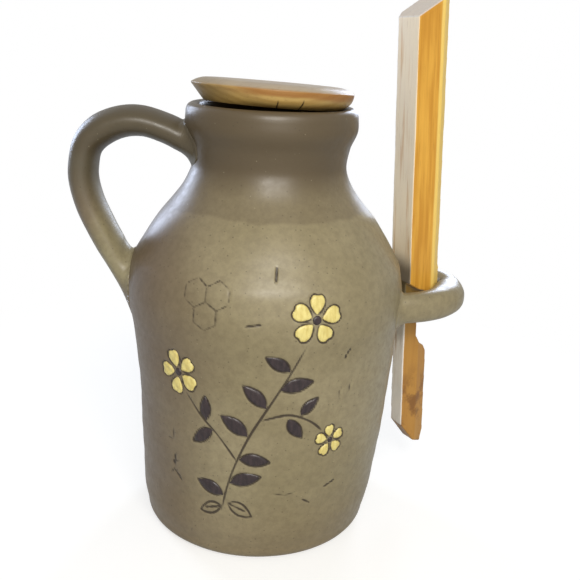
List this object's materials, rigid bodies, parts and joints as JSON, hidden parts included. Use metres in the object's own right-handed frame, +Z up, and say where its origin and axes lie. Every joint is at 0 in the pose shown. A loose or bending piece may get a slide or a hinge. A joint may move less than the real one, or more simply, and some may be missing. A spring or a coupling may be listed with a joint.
{
  "type": "honey jar",
  "caption": "Stoneware honey jar with a strap handle, a loose wooden lid and a carved wooden spatula that hangs in a side loop.",
  "frame": {"origin": "centre of the flat foot", "axes": "+Z up along the jar's own axis, +X towards the loop for the spatula, -X towards the strap handle, -Y out of the decorated front"},
  "size_m": [0.1368, 0.0932, 0.1813],
  "materials": {
    "glazed_stoneware": "satin olive-brown glaze with fine speckles",
    "dark_stoneware": "satin darker brown glaze",
    "lid_wood": "oiled turned wood, satin",
    "spatula_wood": "oiled carved wood, satin"
  },
  "bodies": {
    "jar": {"jar_body": "glazed_stoneware", "handle": "dark_stoneware", "spatula_loop": "glazed_stoneware"},
    "lid": {"lid": "lid_wood"},
    "spatula": {"spatula": "spatula_wood"}
  },
  "joints": [
    {"name": "lid_lift", "type": "slide", "parent": "jar", "child": "lid", "axis": [0, 0, 1], "range_m": [0, 0.06]},
    {"name": "spatula_lift", "type": "slide", "parent": "jar", "child": "spatula", "axis": [-0.0558, 0, 0.9984], "range_m": [0, 0.07]}
  ]
}
